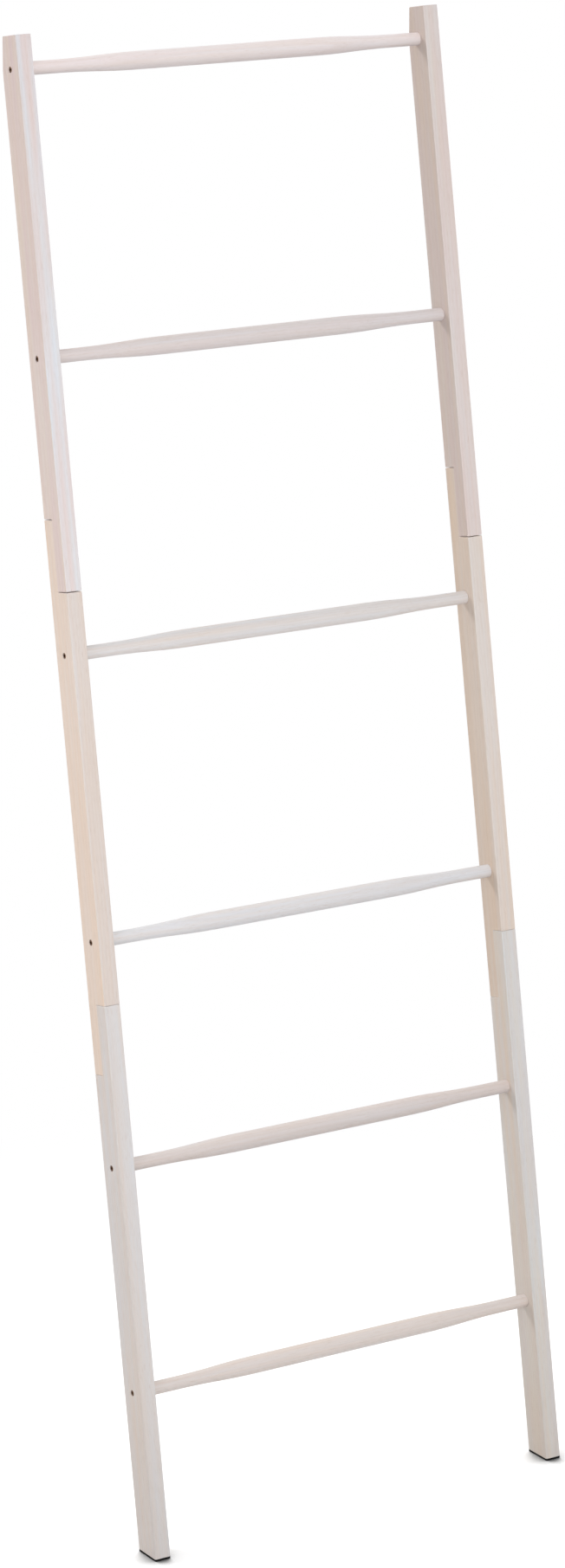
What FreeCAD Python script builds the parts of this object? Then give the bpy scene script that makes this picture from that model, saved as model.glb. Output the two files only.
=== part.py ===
import FreeCAD, Part
import math
import os

# Towel ladder that leans on a wall: two stiles, each of three half-lapped lengths, and six turned rungs.
# Millimetres. X runs across the ladder, Y runs back to the wall and Z runs up from the floor.

# Stance
LEAN_DEGREES = 9.4            # stiles from upright
CLEAR_WIDTH = 513.0           # between the inner faces of the stiles

# Stile stock
STILE_WIDTH = 20.0            # across the ladder
STILE_DEPTH = 36.0            # front to back
EDGE_RADIUS = 1.8             # eased long edges
END_EASE = 0.5                # eased edges of tongues, shoulders and top end

# Stile lengths, tongue included, along the stile
BOTTOM_LENGTH = 623.0
MIDDLE_LENGTH = 620.0
TOP_LENGTH = 610.0
LAP_LENGTH = 80.0             # length of a tongue
LOWER_SHOULDER_GAP = 0.2      # beyond the tongues of the lower lap
UPPER_SHOULDER_GAP = 0.9      # beyond the tongues of the upper lap
WALL_BEVEL_LENGTH = 46.0      # bevel at the top, parallel to the wall, measured along the back face

# Foot pad
PAD_THICKNESS = 2.5

# Rung places, along the stile
BOTTOM_RUNG_INSET = 184.0     # from both ends of the bottom length
MIDDLE_RUNG_INSET = 150.0     # from both ends of the middle length
TOP_RUNG_DROP = 37.0          # highest rung below the top end
TOP_RUNG_SPACING = 316.0      # second rung below the highest

# Turned rung
RUNG_END_DIAMETER = 15.0
RUNG_MIDDLE_DIAMETER = 20.5
RUNG_NECK_LENGTH = 33.0       # straight neck outside the stile
RUNG_TAPER_LENGTH = 114.0     # from the neck to the full diameter
RUNG_SEAT_DEPTH = 8.0         # how far a rung end is let into a stile
RUNG_END_CHAMFER = 0.6
SOCKET_CLEARANCE = 0.1        # round a rung end
SOCKET_END_CLEARANCE = 0.2    # beyond a rung end

# Rung screw, driven through a stile into a rung end
SCREW_DIAMETER = 4.0
SCREW_LENGTH = 40.0           # under the head, tip included
SCREW_TIP_LENGTH = 5.0
SCREW_TIP_DIAMETER = 2.0
SCREW_HEAD_DIAMETER = 6.6
SCREW_HEAD_HEIGHT = 2.6
SCREW_HEAD_SINK = 0.2         # head top below the stile's outer face
SCREW_SOCKET_ACROSS = 3.0     # hexagon socket, across flats
SCREW_SOCKET_DEPTH = 1.5

# Lap bolt, driven from the back into an insert in the front tongue
BOLT_DIAMETER = 6.0
BOLT_HEAD_DIAMETER = 10.5
BOLT_HEAD_HEIGHT = 3.3
BOLT_HEAD_SINK = 0.7          # head top below the stile's back face
BOLT_SOCKET_ACROSS = 4.0
BOLT_SOCKET_DEPTH = 2.0
BOLT_INSET = 20.0             # from each end of the lap
BOLT_END_GAP = 1.0            # bolt end short of the insert's end
BOLT_END_CHAMFER = 0.75
INSERT_DIAMETER = 9.0
INSERT_LENGTH = 12.0

# Shared clearances
HEAD_CLEARANCE = 0.2          # round a sunk head
SHANK_CLEARANCE = 0.15        # round a shank that passes through
THREAD_CLEARANCE = 0.05       # where a thread bites
DRILL_OVERRUN = 0.5           # pilot hole beyond a screw's tip
HEAD_RIM_SHARE = 0.25         # chamfer of a head's rim, of its height

# Derived places
LEAN = math.radians(LEAN_DEGREES)
HALF_WIDTH = STILE_WIDTH / 2
HALF_DEPTH = STILE_DEPTH / 2
STILE_X = (CLEAR_WIDTH + STILE_WIDTH) / 2
MIDDLE_LOW = BOTTOM_LENGTH - LAP_LENGTH + LOWER_SHOULDER_GAP
MIDDLE_HIGH = MIDDLE_LOW + MIDDLE_LENGTH
TOP_LOW = MIDDLE_HIGH - LAP_LENGTH + UPPER_SHOULDER_GAP
TOP_HIGH = TOP_LOW + TOP_LENGTH
WALL_Y = HALF_DEPTH * math.cos(LEAN) + (TOP_HIGH - WALL_BEVEL_LENGTH) * math.sin(LEAN)
FOOT_HALF_DEPTH = HALF_DEPTH / math.cos(LEAN)
CENTRE_Y = (WALL_Y - FOOT_HALF_DEPTH) / 2
RUNG_STATIONS = [
    TOP_HIGH - TOP_RUNG_DROP,
    TOP_HIGH - TOP_RUNG_DROP - TOP_RUNG_SPACING,
    MIDDLE_HIGH - MIDDLE_RUNG_INSET,
    MIDDLE_LOW + MIDDLE_RUNG_INSET,
    BOTTOM_LENGTH - BOTTOM_RUNG_INSET,
    BOTTOM_RUNG_INSET,
]
SCREW_SEAT_DEPTH = SCREW_HEAD_SINK + SCREW_HEAD_HEIGHT
BOLT_SEAT_DEPTH = BOLT_HEAD_SINK + BOLT_HEAD_HEIGHT
BOLT_LENGTH = HALF_DEPTH - BOLT_SEAT_DEPTH + INSERT_LENGTH - BOLT_END_GAP
LAPS = {
    "lower": (MIDDLE_LOW, BOTTOM_LENGTH),
    "upper": (TOP_LOW, MIDDLE_HIGH),
}
SIDES = {"left": -1, "right": 1}

X_AXIS = FreeCAD.Vector(1, 0, 0)
Y_AXIS = FreeCAD.Vector(0, 1, 0)
Z_AXIS = FreeCAD.Vector(0, 0, 1)


def point(x, y, z):
    return FreeCAD.Vector(x, y, z)


def lean_back(shape):
    """Turn a shape from the ladder's own upright frame to its stance, with the pads on the floor."""
    shape = shape.copy()
    shape.rotate(point(0, 0, 0), X_AXIS, -LEAN_DEGREES)
    shape.translate(point(0, -CENTRE_Y, PAD_THICKNESS))
    return shape


def save(node, *solids):
    """Write one node, leaning, as its separate solids."""
    leaning = [lean_back(solid) for solid in solids]
    shape = leaning[0] if len(leaning) == 1 else Part.makeCompound(leaning)
    shape.exportStep("parts/" + node + ".step")


def turned(profile, start, direction):
    """Revolve a closed profile of (along, radius) points, the first and last on the axis, about +X."""
    corners = [point(along, radius, 0) for along, radius in profile]
    wire = Part.makePolygon(corners + corners[:1])
    solid = Part.Face(wire).revolve(point(0, 0, 0), X_AXIS, 360)
    return aimed(solid, start, direction)


def aimed(solid, start, direction):
    """Turn a solid made along +X to another direction and move its zero to start."""
    solid = solid.copy()
    turn = FreeCAD.Rotation(X_AXIS, direction)
    solid.Placement = FreeCAD.Placement(start, turn).multiply(solid.Placement)
    return solid


def half_stile(front, low, high, ease_low, ease_high):
    """Front or back half of the stile stock, split at mid-depth, with its outer end edges eased."""
    way = -1 if front else 1
    flat = HALF_WIDTH - EDGE_RADIUS
    face = way * HALF_DEPTH
    inner = way * (HALF_DEPTH - EDGE_RADIUS)
    bend = EDGE_RADIUS * math.sqrt(0.5)
    corner = [point(side * (flat + bend), inner + way * bend, low) for side in (-1, 1)]
    outline = [
        Part.makeLine(point(-HALF_WIDTH, 0, low), point(-HALF_WIDTH, inner, low)),
        Part.Arc(point(-HALF_WIDTH, inner, low), corner[0], point(-flat, face, low)).toShape(),
        Part.makeLine(point(-flat, face, low), point(flat, face, low)),
        Part.Arc(point(flat, face, low), corner[1], point(HALF_WIDTH, inner, low)).toShape(),
        Part.makeLine(point(HALF_WIDTH, inner, low), point(HALF_WIDTH, 0, low)),
        Part.makeLine(point(HALF_WIDTH, 0, low), point(-HALF_WIDTH, 0, low)),
    ]
    half = Part.Face(Part.Wire(outline)).extrude(Z_AXIS * (high - low))
    eased_levels = [level for level, wanted in ((low, ease_low), (high, ease_high)) if wanted]
    eased = [edge for edge in half.Edges if is_outer_end(edge, eased_levels)]
    return half.makeChamfer(END_EASE, eased) if eased else half


def is_outer_end(edge, levels):
    """True for an edge of an end face that isn't on the split between the front and back halves."""
    box = edge.BoundBox
    on_split = abs(box.YMin) + abs(box.YMax) < Part.Precision.confusion()
    at_end = any(abs(box.ZMin - level) + abs(box.ZMax - level) < Part.Precision.confusion() for level in levels)
    return at_end and not on_split


def joined(front, back):
    """One stile length from its front and back halves."""
    return front.fuse(back).removeSplitter()


def foot_cut():
    """Everything below the foot, in the ladder's own frame: the cut is level when the ladder leans."""
    reach = STILE_DEPTH + STILE_WIDTH
    below = Part.makeBox(2 * reach, 2 * reach, reach, point(-reach, -reach, -reach))
    below.rotate(point(0, 0, 0), X_AXIS, LEAN_DEGREES)
    return below


def wall_cut():
    """Everything behind the wall plane at the top: upright when the ladder leans."""
    reach = WALL_BEVEL_LENGTH + STILE_DEPTH
    behind = Part.makeBox(2 * reach, reach, 2 * reach, point(-reach, 0, -reach))
    behind.rotate(point(0, 0, 0), X_AXIS, LEAN_DEGREES)
    behind.translate(point(0, HALF_DEPTH, TOP_HIGH - WALL_BEVEL_LENGTH))
    return behind


def bottom_blank():
    start = -STILE_DEPTH * math.tan(LEAN) - STILE_WIDTH
    front = half_stile(True, start, BOTTOM_LENGTH, False, True)
    back = half_stile(False, start, BOTTOM_LENGTH - LAP_LENGTH, False, True)
    return joined(front, back).cut(foot_cut())


def middle_blank():
    front = half_stile(True, MIDDLE_LOW + LAP_LENGTH, MIDDLE_HIGH - LAP_LENGTH, True, True)
    back = half_stile(False, MIDDLE_LOW, MIDDLE_HIGH, True, True)
    return joined(front, back)


def top_blank():
    front = half_stile(True, TOP_LOW, TOP_HIGH, True, True)
    back = half_stile(False, TOP_LOW + LAP_LENGTH, TOP_HIGH, True, True)
    bevelled = joined(front, back).cut(wall_cut())
    back_lip = [edge for edge in bevelled.Edges if is_back_lip(edge)]
    return bevelled.makeChamfer(END_EASE, back_lip)


def is_back_lip(edge):
    """True for the edge of the top end along the wall bevel."""
    box = edge.BoundBox
    at_top = box.ZMin > TOP_HIGH - END_EASE / 2
    return at_top and box.YLength < END_EASE and box.YMin > 0


def rung_bore(way, station):
    """Socket, screw hole and sunk head seat of one rung, in a stile on the ladder's centre line."""
    outer = point(way * HALF_WIDTH, 0, station)
    inward = X_AXIS * -way
    socket_radius = RUNG_END_DIAMETER / 2 + SOCKET_CLEARANCE
    socket_start = point(-way * HALF_WIDTH, 0, station)
    seat_radius = SCREW_HEAD_DIAMETER / 2 + HEAD_CLEARANCE
    hole_radius = SCREW_DIAMETER / 2 + SHANK_CLEARANCE
    socket = Part.makeCylinder(socket_radius, RUNG_SEAT_DEPTH + SOCKET_END_CLEARANCE, socket_start, X_AXIS * way)
    seat = Part.makeCylinder(seat_radius, SCREW_SEAT_DEPTH, outer, inward)
    hole = Part.makeCylinder(hole_radius, STILE_WIDTH, outer, inward)
    return socket.fuse([seat, hole])


def bolt_stations(lap):
    low, high = LAPS[lap]
    return [low + BOLT_INSET, high - BOLT_INSET]


def bolt_bore(station):
    """Head seat and shank hole of one lap bolt, through a back tongue."""
    back = point(0, HALF_DEPTH, station)
    seat = Part.makeCylinder(BOLT_HEAD_DIAMETER / 2 + HEAD_CLEARANCE, BOLT_SEAT_DEPTH, back, -Y_AXIS)
    hole = Part.makeCylinder(BOLT_DIAMETER / 2 + SHANK_CLEARANCE, HALF_DEPTH, back, -Y_AXIS)
    return seat.fuse(hole)


def insert_bore(station):
    """Blind hole of one insert, in a front tongue."""
    return Part.makeCylinder(INSERT_DIAMETER / 2 + THREAD_CLEARANCE, INSERT_LENGTH, point(0, 0, station), -Y_AXIS)


def placed(solid, way):
    """Move a solid from the ladder's centre line to the left or right stile."""
    solid = solid.copy()
    solid.translate(point(way * STILE_X, 0, 0))
    return solid


def hexagon_socket(across, depth):
    """Hexagonal recess that opens at zero and runs along +X."""
    radius = across / math.sqrt(3)
    angles = [math.radians(60 * step) for step in range(7)]
    wire = Part.makePolygon([point(0, radius * math.cos(turn), radius * math.sin(turn)) for turn in angles])
    return Part.Face(wire).extrude(X_AXIS * depth)


def sunk_fastener(head_diameter, head_height, shank_diameter, length, tip_length, tip_diameter):
    """Profile of a head and shank along +X, with the head's top at zero."""
    rim = head_height * HEAD_RIM_SHARE
    end = head_height + length
    return [
        (0, 0),
        (0, head_diameter / 2 - rim),
        (rim, head_diameter / 2),
        (head_height, head_diameter / 2),
        (head_height, shank_diameter / 2),
        (end - tip_length, shank_diameter / 2),
        (end, tip_diameter / 2),
        (end, 0),
    ]


def rung_screw(way, station):
    profile = sunk_fastener(
        SCREW_HEAD_DIAMETER, SCREW_HEAD_HEIGHT, SCREW_DIAMETER, SCREW_LENGTH, SCREW_TIP_LENGTH, SCREW_TIP_DIAMETER
    )
    start = point(way * (STILE_X + HALF_WIDTH - SCREW_HEAD_SINK), 0, station)
    inward = X_AXIS * -way
    socket = aimed(hexagon_socket(SCREW_SOCKET_ACROSS, SCREW_SOCKET_DEPTH), start, inward)
    return turned(profile, start, inward).cut(socket)


def lap_bolt(way, station):
    tip_diameter = BOLT_DIAMETER - 2 * BOLT_END_CHAMFER
    profile = sunk_fastener(
        BOLT_HEAD_DIAMETER, BOLT_HEAD_HEIGHT, BOLT_DIAMETER, BOLT_LENGTH, BOLT_END_CHAMFER, tip_diameter
    )
    start = point(way * STILE_X, HALF_DEPTH - BOLT_HEAD_SINK, station)
    socket = aimed(hexagon_socket(BOLT_SOCKET_ACROSS, BOLT_SOCKET_DEPTH), start, -Y_AXIS)
    return turned(profile, start, -Y_AXIS).cut(socket)


def lap_insert(way, station):
    start = point(way * STILE_X, 0, station)
    sleeve = Part.makeCylinder(INSERT_DIAMETER / 2, INSERT_LENGTH, start, -Y_AXIS)
    bore = Part.makeCylinder(BOLT_DIAMETER / 2 + THREAD_CLEARANCE, INSERT_LENGTH, start, -Y_AXIS)
    return sleeve.cut(bore)


def rung_half_outline(way):
    """Edges of one half of a rung's profile, from mid-length to its end, in the XY plane."""
    end = way * (CLEAR_WIDTH / 2 + RUNG_SEAT_DEPTH)
    neck = way * (CLEAR_WIDTH / 2 - RUNG_NECK_LENGTH)
    full = way * (CLEAR_WIDTH / 2 - RUNG_NECK_LENGTH - RUNG_TAPER_LENGTH)
    thin = RUNG_END_DIAMETER / 2
    thick = RUNG_MIDDLE_DIAMETER / 2
    swell = (neck + full) / 2
    taper = Part.BezierCurve()
    taper.setPoles([point(full, thick, 0), point(swell, thick, 0), point(swell, thin, 0), point(neck, thin, 0)])
    shoulder = end - way * RUNG_END_CHAMFER
    return [
        Part.makeLine(point(0, thick, 0), point(full, thick, 0)),
        taper.toShape(),
        Part.makeLine(point(neck, thin, 0), point(shoulder, thin, 0)),
        Part.makeLine(point(shoulder, thin, 0), point(end, thin - RUNG_END_CHAMFER, 0)),
        Part.makeLine(point(end, thin - RUNG_END_CHAMFER, 0), point(end, 0, 0)),
    ]


def rung(station):
    """Turned rung with a pilot hole for a screw in each end."""
    end = CLEAR_WIDTH / 2 + RUNG_SEAT_DEPTH
    axis = Part.makeLine(point(end, 0, 0), point(-end, 0, 0))
    outline = Part.__sortEdges__(rung_half_outline(1) + [axis] + rung_half_outline(-1))
    solid = Part.Face(Part.Wire(outline)).revolve(point(0, 0, 0), X_AXIS, 360)
    screw_reach = STILE_X + HALF_WIDTH - SCREW_SEAT_DEPTH - SCREW_LENGTH
    pilot_length = end - screw_reach + DRILL_OVERRUN
    for way in SIDES.values():
        pilot_radius = SCREW_DIAMETER / 2 + THREAD_CLEARANCE
        pilot = Part.makeCylinder(pilot_radius, pilot_length, point(way * end, 0, 0), X_AXIS * -way)
        solid = solid.cut(pilot)
    solid.translate(point(0, 0, station))
    return solid


def foot_pad(way):
    """Flat pad under one foot, as long as the level cut of the stile."""
    straight = [point(x * HALF_WIDTH, y * FOOT_HALF_DEPTH, 0) for x, y in ((-1, -1), (1, -1), (1, 1), (-1, 1))]
    slab = Part.Face(Part.makePolygon(straight + straight[:1])).extrude(-Z_AXIS * PAD_THICKNESS)
    corners = [edge for edge in slab.Edges if edge.BoundBox.ZLength > PAD_THICKNESS / 2]
    pad = slab.makeFillet(EDGE_RADIUS, corners)
    pad.rotate(point(0, 0, 0), X_AXIS, LEAN_DEGREES)
    return placed(pad, way)


os.makedirs("parts", exist_ok=True)

BLANKS = {"top": top_blank(), "middle": middle_blank(), "bottom": bottom_blank()}
RUNGS_OF = {"top": RUNG_STATIONS[0:2], "middle": RUNG_STATIONS[2:4], "bottom": RUNG_STATIONS[4:6]}
INSERT_LAPS = {"top": ["upper"], "middle": [], "bottom": ["lower"]}
BOLT_LAPS = {"top": [], "middle": ["lower", "upper"], "bottom": []}

for side, way in SIDES.items():
    for length, blank in BLANKS.items():
        bores = [rung_bore(way, station) for station in RUNGS_OF[length]]
        bores += [insert_bore(station) for lap in INSERT_LAPS[length] for station in bolt_stations(lap)]
        bores += [bolt_bore(station) for lap in BOLT_LAPS[length] for station in bolt_stations(lap)]
        save(side + "_" + length + "_stile", placed(blank.cut(bores), way))
    save(side + "_foot_pad", foot_pad(way))
    for lap in LAPS:
        save(side + "_" + lap + "_lap_bolts", *[lap_bolt(way, station) for station in bolt_stations(lap)])
        save(side + "_" + lap + "_lap_inserts", *[lap_insert(way, station) for station in bolt_stations(lap)])

for number, station in enumerate(RUNG_STATIONS, start=1):
    save("rung_" + str(number), rung(station))
    save("rung_" + str(number) + "_screws", *[rung_screw(way, station) for way in SIDES.values()])
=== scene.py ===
import math
from collections import namedtuple

import bpy
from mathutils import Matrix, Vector


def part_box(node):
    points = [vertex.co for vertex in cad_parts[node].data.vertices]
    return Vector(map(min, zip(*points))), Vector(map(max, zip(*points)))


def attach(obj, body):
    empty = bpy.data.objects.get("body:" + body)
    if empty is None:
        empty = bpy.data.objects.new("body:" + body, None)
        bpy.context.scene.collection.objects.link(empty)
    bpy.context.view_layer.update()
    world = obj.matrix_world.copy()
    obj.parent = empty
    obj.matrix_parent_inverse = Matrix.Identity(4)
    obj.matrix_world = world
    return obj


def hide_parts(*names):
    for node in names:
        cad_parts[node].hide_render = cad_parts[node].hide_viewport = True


# Whitewashed towel ladder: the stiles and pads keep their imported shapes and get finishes, and the turned
# rungs, sunk fasteners and threaded inserts are made again as finer meshes. Metres throughout.

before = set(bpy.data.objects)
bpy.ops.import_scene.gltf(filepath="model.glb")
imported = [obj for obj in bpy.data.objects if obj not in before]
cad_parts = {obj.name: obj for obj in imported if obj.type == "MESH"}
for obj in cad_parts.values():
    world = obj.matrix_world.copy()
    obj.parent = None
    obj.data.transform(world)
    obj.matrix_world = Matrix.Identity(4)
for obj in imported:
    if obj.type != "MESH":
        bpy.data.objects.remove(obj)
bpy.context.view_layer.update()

MM = 0.001

# Stile stock
STILE_DEPTH = 36.0 * MM

# Turned rung
RUNG_END_DIAMETER = 15.0 * MM
RUNG_NECK_LENGTH = 33.0 * MM
RUNG_TAPER_LENGTH = 114.0 * MM
RUNG_SEAT_DEPTH = 8.0 * MM
RUNG_END_CHAMFER = 0.6 * MM
PILOT_DIAMETER = 4.1 * MM
PILOT_OVERRUN = 0.5 * MM
RUNG_SIDES = 48
TAPER_STEPS = 14
TAPER_HANDLE = 0.5

# Sunk fasteners: head, hexagon socket and threaded shank
SCREW_SIZES = {
    "Head Diameter": 6.6 * MM,
    "Head Height": 2.6 * MM,
    "Socket Across": 3.0 * MM,
    "Socket Depth": 1.5 * MM,
    "Shank Diameter": 4.0 * MM,
    "Shank Length": 40.0 * MM,
    "Tip Diameter": 2.0 * MM,
    "Tip Length": 5.0 * MM,
    "Thread Pitch": 1.8 * MM,
    "Thread Depth": 0.6 * MM,
}
BOLT_SIZES = {
    "Head Diameter": 10.5 * MM,
    "Head Height": 3.3 * MM,
    "Socket Across": 4.0 * MM,
    "Socket Depth": 2.0 * MM,
    "Shank Diameter": 6.0 * MM,
    "Shank Length": 25.0 * MM,
    "Tip Diameter": 4.5 * MM,
    "Tip Length": 0.75 * MM,
    "Thread Pitch": 1.0 * MM,
    "Thread Depth": 0.55 * MM,
}
BOLT_HEAD_SINK = 0.7 * MM
CROWN_STEPS = 5
CROWN_FLAT_SHARE = 0.62
CROWN_RIM_SHARE = 0.3
SOCKET_TURN_SEED = 7

# Threaded insert
INSERT_SIZES = {
    "Diameter": 9.0 * MM,
    "Bore": 6.1 * MM,
    "Length": 12.0 * MM,
    "Thread Pitch": 2.4 * MM,
    "Thread Depth": 0.8 * MM,
}

# Meshes
FASTENER_SIDES = 36
ROWS_PER_THREAD_TURN = 6
THREAD_FADE = 0.04
MERGE_DISTANCE = 0.005 * MM
SHARP_ANGLE = math.radians(32)

# Wash of the boards

# Cut is where along the log a board comes from. Warmth goes from grey-white 0 to cream 1, and blush is a
# share of pink. The fifth value is painted light and shade, on a stile's sides or on a rung's upper side,
# and side_warmth is for a stile's sides.
Wash = namedtuple("Wash", "cut warmth blush strength lift side_warmth", defaults=[0.0])
STILE_WASH = {
    "left_top_stile": Wash(12.45, -0.25, 1.10, 0.914, -0.01, 1.04),
    "left_middle_stile": Wash(6.02, 0.59, 0.11, 0.854, 0.098, 0.415),
    "left_bottom_stile": Wash(16.19, 0.15, -0.06, 0.86, -0.01, 0.18),
    "right_top_stile": Wash(18.06, 0.195, 0.80, 0.898, -0.072, 0.59),
    "right_middle_stile": Wash(10.80, 0.635, -0.15, 0.886, -0.01, 0.29),
    "right_bottom_stile": Wash(25.12, 0.20, -0.48, 0.853, 0.03, 0.39),
}
RUNG_WASH = [
    Wash(3.93, -0.03, 0.78, 0.98, 0.21),
    Wash(17.82, -0.02, 0.71, 0.873, 0.05),
    Wash(15.94, 0.15, -0.08, 0.898, -0.04),
    Wash(13.23, -0.08, -0.03, 0.910, 0.01),
    Wash(16.33, 0.28, 0.46, 0.828, 0.03),
    Wash(31.05, 0.39, 0.18, 0.897, -0.05),
]

# Faces of a stile: the range over which a face comes to count as a side or an end, and what that changes
SIDE_FACING = (0.6, 0.97)
END_FACING = (0.8, 0.95)
# Painted shade on a stile's outer sides, and darker painted shade on its inner sides between the rungs
OUTER_SIDE_PAINTED_SHADE = 0.98
INNER_SIDE_PAINTED_SHADE = 0.84
ARRIS_TONE = 0.97
ARRIS_WIDTH = 2.6 * MM
ARRIS_CORE = 0.5 * MM
END_WARMTH = 0.25
END_BARE = 0.10
FOOT_TONE = 0.93
FOOT_REACH = 240.0 * MM

# Grain

# A plural is how many of its kind a metre has across, and a draw is how far they are drawn out along the
# board. The other values are what a kind adds to the warmth, the bare wood, the roughness or the relief.
NOISE_MIDDLE = 0.5
STREAKS = 150.0
STREAK_DRAW = 45.0
STREAK_WARMTH = 1.0
DRIFTS = 30.0
DRIFT_DRAW = 8.0
DRIFT_WARMTH = 0.75
DRIFT_BARE = 0.12
BLUSHES = 85.0
BLUSH_DRAW = 20.0
BLUSH_SPREAD = 2.0
BLUSH_SHARE = 0.5
STILE_PATCHES = 1.0
RUNG_PATCHES = 0.4
FIBRES = 1100.0
FIBRE_DRAW = 33.0
FIBRE_BARE = 0.22
FIBRE_ROUGHNESS = 0.16
FIBRE_RELIEF = 0.5
PORES = 2400.0
PORE_DRAW = 26.0
PORE_START = 0.10
PORE_FULL = 0.24
PORE_BARE = 0.22
PORE_ROUGHNESS = 0.12
PORE_RELIEF = -0.6
RING_SPACING = 3.4 * MM
RING_WANDER = 6.0 * MM
RING_BARE = 0.07
RING_RELIEF = -0.25
LATE_WOOD_START = 0.35
LATE_WOOD_FULL = 0.93
LATE_WOOD_EDGE = 0.95
PITH_DISTANCE = 60.0 * MM
PITH_FIRST_ANGLE = 0.6
PITH_ANGLE_STEP = 2.1
RUNG_PITH_DISTANCE = 14.0 * MM
RUNG_PITH_ANGLE_STEP = 1.7
BARE_SHARE = 0.03
WASH_ROUGHNESS = 0.50
GRAIN_BUMP = 0.25
GRAIN_RELIEF = 0.12 * MM

# Pad rubber
RUBBER_SPECULAR = 0.2
RUBBER_ROUGHNESS = 0.62
RUBBER_BLOOMS = 160.0
SPECKLES = 1800.0
SPECKLE_ROUGHNESS = 0.25
SPECKLE_BUMP = 0.4
SPECKLE_RELIEF = 0.1 * MM

# Metal
STEEL_ROUGHNESS = 0.42
BRASS_ROUGHNESS = 0.34
WEAR_PATCHES = 700.0
WEAR_START = 0.42
WEAR_FULL = 0.75
WEAR_SHARE = 0.6
WEAR_POLISH = 0.06
TURNING_MARKS = 2600.0
TURNING_STRETCH = (1.0, 4.0, 4.0)
TURNING_ROUGHNESS = 0.2
TURNING_BUMP = 0.15
TURNING_RELIEF = 0.05 * MM

# Camera, from the perspective of the photograph
PHOTO_HEIGHT = 1811
FOCAL_PIXELS = 5785.0
AXIS_PIXEL_Y = 684.64
CAMERA_PLACE = (-2.9413, -4.6170, 2.3125)
CAMERA_AZIMUTH = math.radians(32.392)
CAMERA_TILT = math.radians(-13.034)
SENSOR = 36.0

# Studio

# The floor passes on less light than it shows, and turns evenly white from FLOOR_NEAR to FLOOR_FAR. Close
# round the feet it is shaded by what stands within CONTACT_REACH on the side that the light comes from.
FLOOR_HALF_SIZE = 60.0
FLOOR_NEAR = 0.5
FLOOR_FAR = 1.2
FLOOR_BOUNCE = 0.6
FLOOR_SEEN = 1.08
CONTACT_REACH = 44.0 * MM
CONTACT_DARK = 0.36
CONTACT_CLEAR = 0.90
CONTACT_LIGHT_WAY = (0.27, 0.80, 0.53)
CONTACT_SHADE = 0.08
SKY_LEVEL = 0.43
SKY_OVERHEAD = 0.81
SKY_LOW = 0.1
SKY_HIGH = 0.95
Softbox = namedtuple("Softbox", "name place aim size power")
SOFTBOXES = [
    Softbox("key_softbox", place=(-0.6, -2.45, 1.8), aim=(0.0, 0.0, 1.3), size=1.2, power=32.5),
    Softbox("back_softbox", place=(-5.68, 6.1, 5.8), aim=(0.0, 0.0, 0.9), size=2.2, power=345.0),
    Softbox("fill_softbox", place=(-1.05, -0.4, 0.95), aim=(-0.2, 0.0, 0.95), size=0.6, power=1.35),
    Softbox("side_softbox", place=(3.2, 0.5, 1.3), aim=(0.0, 0.0, 0.9), size=1.4, power=30.0),
]


def tone(red, green, blue):
    """Linear colour of the 0 to 255 levels that a screen shows."""
    def linear(level):
        share = level / 255
        return share / 12.92 if share <= 0.04045 else ((share + 0.055) / 1.055) ** 2.4

    return (linear(red), linear(green), linear(blue), 1.0)


GREY_WASH = tone(227, 224, 225)
CREAM_WASH = tone(233, 213, 197)
BLUSH = tone(228, 208, 204)
BARE_WOOD = tone(186, 156, 130)
RUBBER = tone(9, 9, 10)
RUBBER_BLOOM = tone(24, 23, 23)
BRONZED = tone(104, 78, 60)
BRONZE_RUBBED = tone(164, 134, 108)
BRASS = tone(214, 178, 104)
BRASS_TARNISH = tone(168, 128, 66)
WHITE = (1.0, 1.0, 1.0, 1.0)


# Node helper

class Wire:
    """An output socket, with arithmetic that adds Math nodes, or Vector Math where a side is a vector."""

    def __init__(self, graph, socket):
        self.graph = graph
        self.socket = socket

    def __add__(self, other):
        return self.graph.combine("ADD", self, other)

    def __radd__(self, other):
        return self.graph.combine("ADD", other, self)

    def __sub__(self, other):
        return self.graph.combine("SUBTRACT", self, other)

    def __rsub__(self, other):
        return self.graph.combine("SUBTRACT", other, self)

    def __mul__(self, other):
        return self.graph.combine("MULTIPLY", self, other)

    def __rmul__(self, other):
        return self.graph.combine("MULTIPLY", other, self)

    def __truediv__(self, other):
        return self.graph.combine("DIVIDE", self, other)

    def __rtruediv__(self, other):
        return self.graph.combine("DIVIDE", other, self)

    def __abs__(self):
        return self.graph.maths("ABSOLUTE", self)


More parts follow.
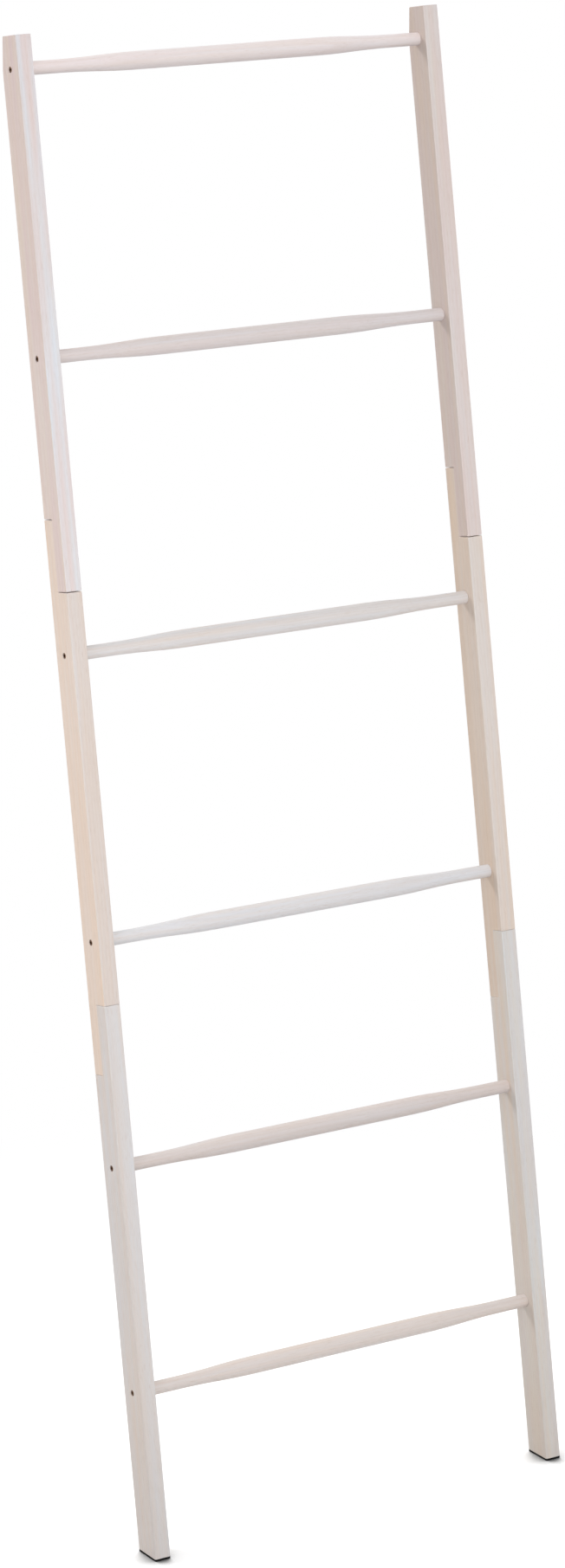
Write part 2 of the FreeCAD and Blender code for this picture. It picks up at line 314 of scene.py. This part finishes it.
class Graph:
    """A node tree that nodes are added to."""

    def __init__(self, tree):
        self.tree = tree

    def node(self, kind, settings=None, sockets=None, output=0):
        """Add a node: its settings first, then the values or links of its sockets."""
        made = self.tree.nodes.new(kind)
        for name, value in (settings or {}).items():
            if name == "choices":
                self.room_for(made.index_switch_items, value)
            else:
                setattr(made, name, value)
        for name, value in (sockets or {}).items():
            self.feed(made.inputs[name], value)
        return Wire(self, made.outputs[output])

    def feed(self, socket, value):
        if isinstance(value, Wire):
            self.tree.links.new(value.socket, socket)
        else:
            socket.default_value = value

    def room_for(self, items, count):
        while len(items) < count:
            items.new()

    def combine(self, operation, first, second):
        vector = any(is_vector(side) for side in (first, second))
        kind = "ShaderNodeVectorMath" if vector else "ShaderNodeMath"
        return self.node(kind, {"operation": operation}, {0: first, 1: second})

    def maths(self, operation, first, second=0.0):
        return self.node("ShaderNodeMath", {"operation": operation}, {0: first, 1: second})

    def blend(self, share, first, second):
        """Mix two colours, or go past them where the share is under 0 or over 1."""
        settings = {"data_type": "RGBA", "clamp_factor": False}
        return self.node("ShaderNodeMix", settings, {0: share, 6: first, 7: second}, output=2)

    def mixed(self, share, first, second):
        """Mix two shaders."""
        return self.node("ShaderNodeMixShader", None, {0: share, 1: first, 2: second})

    def ease(self, value, low, high, start=0.0, end=1.0, way="SMOOTHSTEP"):
        """Take a value from start to end as it goes from low to high."""
        sockets = {"Value": value, "From Min": low, "From Max": high, "To Min": start, "To Max": end}
        return self.node("ShaderNodeMapRange", {"interpolation_type": way}, sockets)

    def noise(self, vector, scale, detail=2.0, roughness=0.5):
        sockets = {"Vector": vector, "Scale": scale, "Detail": detail, "Roughness": roughness}
        return self.node("ShaderNodeTexNoise", None, sockets)

    def scaled(self, vector, factor):
        """A colour or vector times a number or a wire."""
        return self.node("ShaderNodeVectorMath", {"operation": "SCALE"}, {0: vector, "Scale": factor})

    def along(self, vector, direction):
        """How far a vector reaches in a direction."""
        sockets = {0: vector, 1: direction}
        return self.node("ShaderNodeVectorMath", {"operation": "DOT_PRODUCT"}, sockets, output="Value")

    def parts(self, vector):
        """X, Y and Z of a vector."""
        split = self.node("ShaderNodeSeparateXYZ", None, {0: vector}).socket.node
        return [Wire(self, socket) for socket in split.outputs]

    def place(self):
        return self.node("ShaderNodeTexCoord", None, None, output="Object")

    def normal(self):
        return self.node("ShaderNodeTexCoord", None, None, output="Normal")


def is_vector(side):
    if isinstance(side, Wire):
        return side.socket.type == "VECTOR"
    return isinstance(side, tuple)


# The ladder's own lines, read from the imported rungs

def middle_of(node):
    low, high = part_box(node)
    return (low + high) / 2


def size_of(node):
    low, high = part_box(node)
    return high - low


HIGHEST = middle_of("rung_1")
LOWEST = middle_of("rung_6")
UPWARD = (HIGHEST - LOWEST).normalized()
LEAN = math.atan2(UPWARD.y, UPWARD.z)
BACKWARD = Vector((0.0, math.cos(LEAN), -math.sin(LEAN)))
LADDER_BACK = LOWEST.dot(BACKWARD)
STILE_MIDDLE = middle_of("right_top_stile").x
STILE_WIDTH = size_of("right_top_stile").x


# Finishes

def new_material(name):
    """A material with a plain surface shader; gives the material, its graph and the shader node."""
    material = bpy.data.materials.new(name)
    material.use_nodes = True
    graph = Graph(material.node_tree)
    shader = material.node_tree.nodes["Principled BSDF"]
    return material, graph, shader


def bump(graph, shader, height, strength, distance):
    """Fine relief on a finish."""
    sockets = {"Strength": strength, "Distance": distance, "Height": height}
    graph.feed(shader.inputs["Normal"], graph.node("ShaderNodeBump", None, sockets))


def drawn_noise(graph, grain, across, draw, detail, roughness=0.5):
    """Noise about zero, drawn out along the grain."""
    return graph.noise(grain * (1.0, 1.0, 1.0 / draw), across, detail, roughness) - NOISE_MIDDLE


def growth_rings(graph, grain, pith, drift):
    """Late-wood lines of the rings round the pith, which wander a little."""
    x, y, _ = graph.parts(grain)
    wander = drift * RING_WANDER
    from_x = x - pith[0] + wander
    from_y = y - pith[1] - wander
    radius = graph.maths("SQRT", from_x * from_x + from_y * from_y)
    growth = graph.maths("FRACT", radius / RING_SPACING)
    rise = graph.ease(growth, LATE_WOOD_START, LATE_WOOD_FULL)
    return rise * graph.ease(growth, 1.0, LATE_WOOD_EDGE)


def whitewash(name, turn, shift, pith, wash, patches, faces):
    """Pale wash over wood: warm, grey and pink streaks along the grain, faint rings, fibres and pores.

    Turn and shift lay the grain along Z and cut each board from its own place. Patches says how uneven the
    wash is. Faces gives what differs from face to face: added warmth, added bare wood and a factor on the
    strength, which carries painted shade on a stile's sides and painted light on a rung's upper side."""
    material, graph, shader = new_material(name)
    sockets = {"Vector": graph.place(), "Rotation": turn, "Location": shift}
    grain = graph.node("ShaderNodeMapping", None, sockets)
    streaks = drawn_noise(graph, grain, STREAKS, STREAK_DRAW, detail=2.0, roughness=0.55)
    drift = drawn_noise(graph, grain, DRIFTS, DRIFT_DRAW, detail=2.0)
    blush = drawn_noise(graph, grain, BLUSHES, BLUSH_DRAW, detail=1.0)
    fibres = drawn_noise(graph, grain, FIBRES, FIBRE_DRAW, detail=3.0, roughness=0.6)
    specks = drawn_noise(graph, grain, PORES, PORE_DRAW, detail=1.0, roughness=0.4)
    pores = graph.ease(specks, PORE_START, PORE_FULL)
    rings = growth_rings(graph, grain, pith, drift)
    face_warmth, face_bare, face_level = faces(graph)
    patch = drift * patches
    warm = streaks * STREAK_WARMTH + patch * DRIFT_WARMTH + face_warmth + wash.warmth
    pink = (blush * (BLUSH_SPREAD * patches) + BLUSH_SHARE) * wash.blush
    bare = fibres * FIBRE_BARE + patch * DRIFT_BARE + rings * RING_BARE + pores * PORE_BARE
    coat = graph.blend(warm, GREY_WASH, CREAM_WASH)
    coat = graph.blend(pink, coat, BLUSH)
    coat = graph.blend(bare + face_bare + BARE_SHARE, coat, BARE_WOOD)
    graph.feed(shader.inputs["Base Color"], graph.scaled(coat, face_level * wash.strength))
    roughness = fibres * FIBRE_ROUGHNESS + pores * PORE_ROUGHNESS + WASH_ROUGHNESS
    graph.feed(shader.inputs["Roughness"], roughness)
    relief = fibres * FIBRE_RELIEF + pores * PORE_RELIEF + rings * RING_RELIEF
    bump(graph, shader, relief, GRAIN_BUMP, GRAIN_RELIEF)
    return material


def stile_faces(graph, side, wash):
    """Sides differ from front and back in warmth and carry painted shade, arrises are rubbed, ends drink
    the wash and feet are darker.
    """
    normal = graph.normal()
    outward = graph.along(normal, (side, 0.0, 0.0))
    outer = graph.ease(outward, *SIDE_FACING)
    inner = graph.ease(outward * -1.0, *SIDE_FACING)
    ends = graph.ease(abs(graph.along(normal, UPWARD)), *END_FACING)
    warmth = (outer + inner) * wash.side_warmth + ends * END_WARMTH
    # Painted shade on the sides, with each board's painted light value added
    outer_painted_shade = OUTER_SIDE_PAINTED_SHADE + wash.lift - 1
    inner_painted_shade = INNER_SIDE_PAINTED_SHADE + wash.lift - 1
    side_painted_shade = outer * outer_painted_shade + inner * inner_painted_shade + 1
    arris_level = arrises(graph) * (ARRIS_TONE - 1) + 1
    height = graph.along(graph.place(), (0.0, 0.0, 1.0))
    foot_level = graph.ease(height, 0.0, FOOT_REACH, FOOT_TONE, 1.0)
    return warmth, ends * END_BARE, side_painted_shade * arris_level * foot_level


def arrises(graph):
    """Mask of a stile's four long arrises."""
    place = graph.place()
    in_width = STILE_WIDTH / 2 - abs(abs(graph.along(place, (1.0, 0.0, 0.0))) - STILE_MIDDLE)
    in_depth = STILE_DEPTH / 2 - abs(graph.along(place, BACKWARD) - LADDER_BACK)
    return graph.ease(graph.maths("MAXIMUM", in_width, in_depth), ARRIS_WIDTH, ARRIS_CORE)


def rung_faces(graph, wash):
    """Painted light and shade: a rung's colour is scaled by how far its surface faces up, by the rung's
    own amount.
    """
    return 0.0, 0.0, graph.along(graph.normal(), (0.0, 0.0, 1.0)) * wash.lift + 1


def stile_wash(node, order):
    """Wash of one stile length, cut from its own place round the pith."""
    side = -1 if node.startswith("left") else 1
    wash = STILE_WASH[node]
    turn = (LEAN, 0.0, 0.0)
    shift = (0.0, 0.0, wash.cut)
    angle = PITH_FIRST_ANGLE + PITH_ANGLE_STEP * order
    pith_x = STILE_MIDDLE * side + PITH_DISTANCE * math.cos(angle)
    pith_y = LADDER_BACK + PITH_DISTANCE * math.sin(angle)

    def faces(graph):
        return stile_faces(graph, side, wash)

    return whitewash(node + "_wash", turn, shift, (pith_x, pith_y), wash, STILE_PATCHES, faces)


def rung_wash(number):
    """Wash of one rung, with its grain along the rung."""
    node = "rung_" + str(number)
    middle = middle_of(node)
    wash = RUNG_WASH[number - 1]
    turn = (0.0, math.radians(-90), 0.0)
    shift = (middle.z, -middle.y, wash.cut)
    angle = RUNG_PITH_ANGLE_STEP * number
    pith = (RUNG_PITH_DISTANCE * math.cos(angle), RUNG_PITH_DISTANCE * math.sin(angle))

    def faces(graph):
        return rung_faces(graph, wash)

    return whitewash(node + "_wash", turn, shift, pith, wash, RUNG_PATCHES, faces)


def rubber():
    """Dull black pad rubber with a fine moulded speckle."""
    material, graph, shader = new_material("pad_rubber")
    shader.inputs["Specular IOR Level"].default_value = RUBBER_SPECULAR
    place = graph.place()
    speckle = graph.noise(place, SPECKLES, detail=3.0, roughness=0.6)
    bloom = graph.noise(place, RUBBER_BLOOMS)
    graph.feed(shader.inputs["Base Color"], graph.blend(speckle * bloom, RUBBER, RUBBER_BLOOM))
    graph.feed(shader.inputs["Roughness"], speckle * SPECKLE_ROUGHNESS + RUBBER_ROUGHNESS)
    bump(graph, shader, speckle, SPECKLE_BUMP, SPECKLE_RELIEF)
    return material


def metal(name, base, worn, roughness):
    """Metal with soft patches of wear and fine turning marks."""
    material, graph, shader = new_material(name)
    shader.inputs["Metallic"].default_value = 1.0
    place = graph.place()
    wear = graph.ease(graph.noise(place, WEAR_PATCHES, detail=3.0), WEAR_START, WEAR_FULL)
    marks = graph.noise(place * TURNING_STRETCH, TURNING_MARKS) - NOISE_MIDDLE
    graph.feed(shader.inputs["Base Color"], graph.blend(wear * WEAR_SHARE, base, worn))
    dullness = marks * TURNING_ROUGHNESS - wear * WEAR_POLISH + roughness
    graph.feed(shader.inputs["Roughness"], dullness)
    bump(graph, shader, marks, TURNING_BUMP, TURNING_RELIEF)
    return material


# Geometry Nodes

def new_tree(name, sizes):
    """A geometry tree with a named input for each size; gives the tree, its graph and the input wires."""
    tree = bpy.data.node_groups.new(name, "GeometryNodeTree")
    tree.interface.new_socket("Places", in_out="INPUT", socket_type="NodeSocketGeometry")
    for size in sizes:
        tree.interface.new_socket(size, in_out="INPUT", socket_type="NodeSocketFloat")
    tree.interface.new_socket("Finish", in_out="INPUT", socket_type="NodeSocketMaterial")
    tree.interface.new_socket("Made", in_out="OUTPUT", socket_type="NodeSocketGeometry")
    graph = Graph(tree)
    entry = tree.nodes.new("NodeGroupInput")
    wires = {socket.name: Wire(graph, socket) for socket in entry.outputs}
    return tree, graph, wires


def bent_round(graph, sheet, turn, height, radius):
    """A sheet whose points go to a turn, height and radius about Z."""
    x = graph.maths("COSINE", turn) * radius
    y = graph.maths("SINE", turn) * radius
    place = graph.node("ShaderNodeCombineXYZ", None, {"X": x, "Y": y, "Z": height})
    return graph.node("GeometryNodeSetPosition", None, {"Geometry": sheet, "Position": place})


def turned(graph, profile, sides):
    """A round mesh about Z through steps of (height, radius), listed so that the outside runs downward.

    A step is a pair of numbers or wires, or a function of the turn round the axis that gives one."""
    steps = len(profile)
    sockets = {"Size X": steps - 1.0, "Size Y": 1.0, "Vertices X": steps, "Vertices Y": sides + 1}
    sheet = graph.node("GeometryNodeMeshGrid", None, sockets)
    x, y, _ = graph.parts(graph.node("GeometryNodeInputPosition"))
    turn = (y + 0.5) * math.tau
    index = graph.node("FunctionNodeFloatToInt", {"rounding_mode": "ROUND"}, {0: x + (steps - 1) / 2})
    pairs = [step(turn) if callable(step) else step for step in profile]
    height = pick(graph, index, [pair[0] for pair in pairs])
    radius = pick(graph, index, [pair[1] for pair in pairs])
    return bent_round(graph, sheet, turn, height, radius)


def pick(graph, index, values):
    """The value whose number in the list is the index."""
    sockets = {"Index": index}
    sockets.update({order + 1: value for order, value in enumerate(values)})
    settings = {"data_type": "FLOAT", "choices": len(values)}
    return graph.node("GeometryNodeIndexSwitch", settings, sockets)


def threaded(graph, size, start, end, crest, tip, tip_length):
    """A screw thread about Z from one height down to another, plain at both ends, with a narrowed tip."""
    length = start - end
    turns = length / size["Thread Pitch"]
    settings = {"rounding_mode": "CEILING"}
    rows = graph.node("FunctionNodeFloatToInt", settings, {0: turns * ROWS_PER_THREAD_TURN})
    sockets = {"Size X": 1.0, "Size Y": 1.0, "Vertices X": rows, "Vertices Y": FASTENER_SIDES + 1}
    sheet = graph.node("GeometryNodeMeshGrid", None, sockets)
    x, y, _ = graph.parts(graph.node("GeometryNodeInputPosition"))
    down = x + 0.5
    round_share = y + 0.5
    phase = graph.maths("FRACT", down * turns + round_share)
    groove = 1 - abs(phase * 2 - 1)
    fade = graph.ease(down, 0.0, THREAD_FADE) * graph.ease(down, 1.0, 1 - THREAD_FADE)
    full = graph.ease((1 - down) * length, 0.0, tip_length, tip, crest, "LINEAR")
    radius = full - groove * fade * size["Thread Depth"]
    return bent_round(graph, sheet, round_share * math.tau, start - down * length, radius)


def welded(graph, *shapes):
    """Shapes in one mesh, with the points that meet made one."""
    gather = graph.node("GeometryNodeJoinGeometry")
    for shape in shapes:
        graph.feed(gather.socket.node.inputs["Geometry"], shape)
    sockets = {"Geometry": gather, "Distance": MERGE_DISTANCE}
    return graph.node("GeometryNodeMergeByDistance", None, sockets)


def finish_tree(tree, graph, wires, shape, spin):
    """Smooth all but the corners, set a copy on each place along its heading, and give the finish."""
    sockets = {"Geometry": shape, "Shade Smooth": True}
    smooth = graph.node("GeometryNodeSetShadeSmooth", {"domain": "FACE"}, sockets)
    angle = graph.node("GeometryNodeInputMeshEdgeAngle")
    settings = {"operation": "GREATER_THAN"}
    corner = graph.node("FunctionNodeCompare", settings, {0: angle, 1: SHARP_ANGLE})
    sockets = {"Geometry": smooth, "Selection": corner, "Shade Smooth": False}
    edged = graph.node("GeometryNodeSetShadeSmooth", {"domain": "EDGE"}, sockets)
    settings = {"data_type": "FLOAT_VECTOR"}
    heading = graph.node("GeometryNodeInputNamedAttribute", settings, {"Name": "heading"})
    aim = graph.node("FunctionNodeAlignRotationToVector", {"axis": "Z"}, {"Vector": heading})
    if spin:
        sockets = {0: aim, 1: chance_turn(graph)}
        aim = graph.node("FunctionNodeRotateRotation", {"rotation_space": "LOCAL"}, sockets)
    sockets = {"Points": wires["Places"], "Instance": edged, "Rotation": aim}
    copies = graph.node("GeometryNodeInstanceOnPoints", None, sockets)
    solid = graph.node("GeometryNodeRealizeInstances", None, {"Geometry": copies})
    sockets = {"Geometry": solid, "Material": wires["Finish"]}
    dressed = graph.node("GeometryNodeSetMaterial", None, sockets)
    leave = tree.nodes.new("NodeGroupOutput")
    graph.feed(leave.inputs["Made"], dressed)
    return tree


def chance_turn(graph):
    """A turn about the own axis that differs from place to place."""
    sockets = {2: 0.0, 3: math.tau, "Seed": SOCKET_TURN_SEED}
    chance = graph.node("FunctionNodeRandomValue", {"data_type": "FLOAT"}, sockets, output=1)
    sockets = {"Axis": (0.0, 0.0, 1.0), "Angle": chance}
    return graph.node("FunctionNodeAxisAngleToRotation", None, sockets)


def s_curve(share):
    """A point of the cubic S curve from (0, 0) to (1, 1), whose level handles are TAPER_HANDLE long."""
    rest = 1 - share
    handles = rest * TAPER_HANDLE + share * (1 - TAPER_HANDLE)
    along = 3 * rest * share * handles + share ** 3
    rise = 3 * rest * share ** 2 + share ** 3
    return along, rise


def rung_tree():
    """A turned rung about its middle, which swells in an S curve from each straight neck."""
    sizes = ["Length", "End Diameter", "Middle Diameter", "Neck Length", "Taper Length"]
    sizes += ["End Chamfer", "Pilot Diameter", "Pilot Length"]
    tree, graph, size = new_tree("turned rung", sizes)
    end = size["Length"] / 2
    thin = size["End Diameter"] / 2
    thick = size["Middle Diameter"] / 2
    pilot = size["Pilot Diameter"] / 2
    pilot_end = end - size["Pilot Length"]
    half = [
        (pilot_end, 0.0),
        (pilot_end, pilot),
        (end, pilot),
        (end, thin - size["End Chamfer"]),
        (end - size["End Chamfer"], thin),
    ]
    for step in range(TAPER_STEPS + 1):
        along, swell = s_curve(step / TAPER_STEPS)
        height = end - size["Neck Length"] - size["Taper Length"] * along
        half.append((height, thin + (thick - thin) * swell))
    other = [(0.0 - height, radius) for height, radius in reversed(half)]
    shape = welded(graph, turned(graph, half + other, RUNG_SIDES))
    return finish_tree(tree, graph, size, shape, spin=False)


def hexagon_wall(graph, across, height):
    """A step of a profile that goes round a hexagon."""
    def step(turn):
        sixth = math.tau / 6
        from_flat = graph.maths("FLOORED_MODULO", turn, sixth) - sixth / 2
        return (height, across / 2 / graph.maths("COSINE", from_flat))

    return step


def fastener_tree():
    """A crowned head with a hexagon socket, on a threaded shank; the crown's top is at 0 and faces +Z."""
    tree, graph, size = new_tree("sunk fastener", list(SCREW_SIZES))
    head = size["Head Diameter"] / 2
    shank = size["Shank Diameter"] / 2
    tip = size["Tip Diameter"] / 2
    floor = 0.0 - size["Socket Depth"]
    seat = 0.0 - size["Head Height"]
    end = seat - size["Shank Length"]
    across = size["Socket Across"]
    profile = [(floor, 0.0), hexagon_wall(graph, across, floor), hexagon_wall(graph, across, 0.0)]
    for step in range(CROWN_STEPS + 1):
        turn = math.pi / 2 * step / CROWN_STEPS
        drop = seat * (CROWN_RIM_SHARE * (1 - math.cos(turn)))
        profile.append((drop, head * (CROWN_FLAT_SHARE + (1 - CROWN_FLAT_SHARE) * math.sin(turn))))
    profile += [(seat, head), (seat, shank)]
    top = turned(graph, profile, FASTENER_SIDES)
    thread = threaded(graph, size, seat, end, shank, tip, size["Tip Length"])
    point = turned(graph, [(end, tip), (end, 0.0)], FASTENER_SIDES)
    return finish_tree(tree, graph, size, welded(graph, top, thread, point), spin=True)


def insert_tree():
    """A sleeve with a plain bore and a coarse thread outside; its mouth is at 0 and faces +Z."""
    tree, graph, size = new_tree("threaded insert", list(INSERT_SIZES))
    outer = size["Diameter"] / 2
    bore = size["Bore"] / 2
    end = 0.0 - size["Length"]
    thread = threaded(graph, size, 0.0, end, outer, outer, size["Length"])
    inside = turned(graph, [(end, outer), (end, bore), (0.0, bore), (0.0, outer)], FASTENER_SIDES)
    return finish_tree(tree, graph, size, welded(graph, thread, inside), spin=True)


def grown(name, tree, sizes, finish, places):
    """Run a tree on (place, heading) pairs and keep the result as a plain mesh."""
    mesh = bpy.data.meshes.new(name)
    mesh.from_pydata([place for place, heading in places], [], [])
    headings = mesh.attributes.new("heading", "FLOAT_VECTOR", "POINT")
    headings.data.foreach_set("vector", [number for place, heading in places for number in heading])
    piece = bpy.data.objects.new(name, mesh)
    bpy.context.scene.collection.objects.link(piece)
    maker = piece.modifiers.new("maker", "NODES")
    maker.node_group = tree
    values = dict(sizes, Finish=finish)
    for item in tree.interface.items_tree:
        if item.name in values:
            maker[item.identifier] = values[item.name]
    made = piece.evaluated_get(bpy.context.evaluated_depsgraph_get())
    piece.data = bpy.data.meshes.new_from_object(made)
    piece.modifiers.clear()
    return piece


def stand_for(piece, node):
    """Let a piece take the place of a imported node."""
    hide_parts(node)
    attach(piece, "root")


# Pieces

def dress_node(node, finish):
    """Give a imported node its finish."""
    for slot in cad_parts[node].material_slots:
        slot.material = finish


def dress_stiles():
    """Wash the six stile lengths and blacken the two pads."""
    pad = rubber()
    for order, node in enumerate(STILE_WASH):
        dress_node(node, stile_wash(node, order))
    for side in ("left", "right"):
        dress_node(side + "_foot_pad", pad)


def make_rungs():
    """Six turned rungs, each bored for the screws that hold it."""
    tree = rung_tree()
    for number in range(1, len(RUNG_WASH) + 1):
        node = "rung_" + str(number)
        low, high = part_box(node)
        screw_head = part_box(node + "_screws")[1].x
        screw_tip = screw_head - SCREW_SIZES["Head Height"] - SCREW_SIZES["Shank Length"]
        sizes = {
            "Length": high.x - low.x,
            "End Diameter": RUNG_END_DIAMETER,
            "Middle Diameter": high.z - low.z,
            "Neck Length": RUNG_NECK_LENGTH + RUNG_SEAT_DEPTH,
            "Taper Length": RUNG_TAPER_LENGTH,
            "End Chamfer": RUNG_END_CHAMFER,
            "Pilot Diameter": PILOT_DIAMETER,
            "Pilot Length": high.x - screw_tip + PILOT_OVERRUN,
        }
        places = [(middle_of(node), (1.0, 0.0, 0.0))]
        stand_for(grown("turned_" + node, tree, sizes, rung_wash(number), places), node)


def make_screws(tree, steel):
    """A screw into each rung end, its head in the outer side of the stile."""
    for number in range(1, len(RUNG_WASH) + 1):
        node = "rung_" + str(number) + "_screws"
        low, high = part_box(node)
        middle = (low + high) / 2
        places = [
            ((low.x, middle.y, middle.z), (-1.0, 0.0, 0.0)),
            ((high.x, middle.y, middle.z), (1.0, 0.0, 0.0)),
        ]
        stand_for(grown("sunk_" + node, tree, SCREW_SIZES, steel, places), node)


def insert_mouths(inserts):
    """Mouths of a lap's two inserts, at the split between the front and back tongues."""
    low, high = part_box(inserts)
    length = INSERT_SIZES["Length"]
    own_height = length * math.sin(LEAN) + INSERT_SIZES["Diameter"] * math.cos(LEAN)
    apart = (high.z - low.z - own_height) / math.cos(LEAN)
    middle = (low + high) / 2 + BACKWARD * (length / 2)
    return [middle + UPWARD * (way * apart / 2) for way in (-1, 1)]


def make_lap_fastenings(fasteners, steel):
    """Brass inserts in the front tongues, and the bolts that go into them from the back."""
    sleeves = insert_tree()
    brass = metal("insert_brass_turned", BRASS, BRASS_TARNISH, BRASS_ROUGHNESS)
    to_head = BACKWARD * (STILE_DEPTH / 2 - BOLT_HEAD_SINK)
    for side in ("left", "right"):
        for lap in ("lower", "upper"):
            inserts = side + "_" + lap + "_lap_inserts"
            bolts = side + "_" + lap + "_lap_bolts"
            mouths = [(mouth, BACKWARD) for mouth in insert_mouths(inserts)]
            heads = [(mouth + to_head, heading) for mouth, heading in mouths]
            pair = grown("threaded_" + inserts, sleeves, INSERT_SIZES, brass, mouths)
            stand_for(pair, inserts)
            pair = grown("sunk_" + bolts, fasteners, BOLT_SIZES, steel, heads)
            stand_for(pair, bolts)


def make_fasteners():
    """All screws, bolts and inserts; screws and bolts share one tree and one steel."""
    tree = fastener_tree()
    steel = metal("bronzed_steel", BRONZED, BRONZE_RUBBED, STEEL_ROUGHNESS)
    make_screws(tree, steel)
    make_lap_fastenings(tree, steel)


# Studio

def seen_directly(graph):
    """1 for rays from the camera, a mirror or glass, and 0 for the light that surfaces pass on."""
    path = graph.node("ShaderNodeLightPath").socket.node
    kinds = ("Is Camera Ray", "Is Glossy Ray", "Is Transmission Ray")
    camera, glossy, clear = [Wire(graph, path.outputs[kind]) for kind in kinds]
    return graph.maths("MAXIMUM", graph.maths("MAXIMUM", camera, glossy), clear)


def make_floor():
    """A wide square of paper under the ladder."""
    reach = FLOOR_HALF_SIZE
    corners = [(-reach, -reach, 0.0), (reach, -reach, 0.0), (reach, reach, 0.0), (-reach, reach, 0.0)]
    mesh = bpy.data.meshes.new("floor")
    mesh.from_pydata(corners, [], [(0, 1, 2, 3)])
    mesh.materials.append(floor_paper())
    floor = bpy.data.objects.new("floor", mesh)
    bpy.context.scene.collection.objects.link(floor)


def floor_paper():
    """White paper: shaded close round the ladder's feet, and evenly white further out."""
    material = bpy.data.materials.new("floor_paper")
    material.use_nodes = True
    material.node_tree.nodes.clear()
    graph = Graph(material.node_tree)
    settings = {"operation": "LENGTH"}
    away = graph.node("ShaderNodeVectorMath", settings, {0: graph.place()}, output="Value")
    far = graph.ease(away, FLOOR_NEAR, FLOOR_FAR)
    settings = {"operation": "NORMALIZE"}
    light_way = graph.node("ShaderNodeVectorMath", settings, {0: CONTACT_LIGHT_WAY})
    sockets = {"Distance": CONTACT_REACH, "Normal": light_way}
    open_share = graph.node("ShaderNodeAmbientOcclusion", None, sockets, output="AO")
    clear = graph.ease(open_share, CONTACT_DARK, CONTACT_CLEAR)
    paper = graph.mixed(clear, matt(graph, FLOOR_SEEN * CONTACT_SHADE), matt(graph, FLOOR_SEEN))
    plain = graph.node("ShaderNodeEmission", None, {"Color": WHITE, "Strength": 1.0})
    seen = graph.mixed(far, paper, plain)
    surface = graph.mixed(seen_directly(graph), matt(graph, FLOOR_BOUNCE), seen)
    leave = material.node_tree.nodes.new("ShaderNodeOutputMaterial")
    graph.feed(leave.inputs["Surface"], surface)
    return material


def matt(graph, level):
    """Matt grey of one level."""
    return graph.node("ShaderNodeBsdfDiffuse", None, {"Color": (level, level, level, 1.0)})


def make_sky():
    """Soft light from all round, stronger overhead, in front of a plain white background."""
    world = bpy.data.worlds.new("studio")
    bpy.context.scene.world = world
    world.use_nodes = True
    world.node_tree.nodes.clear()
    graph = Graph(world.node_tree)
    way = graph.node("ShaderNodeTexCoord", None, None, output="Generated")
    overhead = graph.ease(graph.parts(way)[2], SKY_LOW, SKY_HIGH)
    light = graph.mixed(overhead, glow(graph, SKY_LEVEL), glow(graph, SKY_OVERHEAD))
    surface = graph.mixed(seen_directly(graph), light, glow(graph, 1.0))
    leave = world.node_tree.nodes.new("ShaderNodeOutputWorld")
    graph.feed(leave.inputs["Surface"], surface)


def glow(graph, level):
    """White light of one level from all round."""
    return graph.node("ShaderNodeBackground", None, {"Color": WHITE, "Strength": level})


def make_softbox(softbox):
    """A square lamp that the camera doesn't see, turned to what it aims at."""
    lamp = bpy.data.lights.new(softbox.name, "AREA")
    lamp.energy = softbox.power
    lamp.size = softbox.size
    holder = bpy.data.objects.new(softbox.name, lamp)
    holder.location = softbox.place
    ray = Vector(softbox.aim) - Vector(softbox.place)
    holder.rotation_euler = ray.to_track_quat("-Z", "Y").to_euler()
    holder.visible_camera = False
    bpy.context.scene.collection.objects.link(holder)


def make_camera():
    """The photograph's camera: a long lens, level across, with its picture shifted up or down."""
    camera = bpy.data.cameras.new("photo_view")
    camera.sensor_width = SENSOR
    camera.lens = FOCAL_PIXELS / PHOTO_HEIGHT * SENSOR
    camera.shift_y = (AXIS_PIXEL_Y - PHOTO_HEIGHT / 2) / PHOTO_HEIGHT
    camera.clip_end = 4 * FLOOR_HALF_SIZE
    holder = bpy.data.objects.new("photo_view", camera)
    holder.location = CAMERA_PLACE
    holder.rotation_euler = (math.pi / 2 + CAMERA_TILT, 0.0, -CAMERA_AZIMUTH)
    bpy.context.scene.collection.objects.link(holder)
    bpy.context.scene.camera = holder


dress_stiles()
make_rungs()
make_fasteners()
make_floor()
make_sky()
for softbox in SOFTBOXES:
    make_softbox(softbox)
make_camera()
bpy.context.scene.view_settings.view_transform = "Standard"
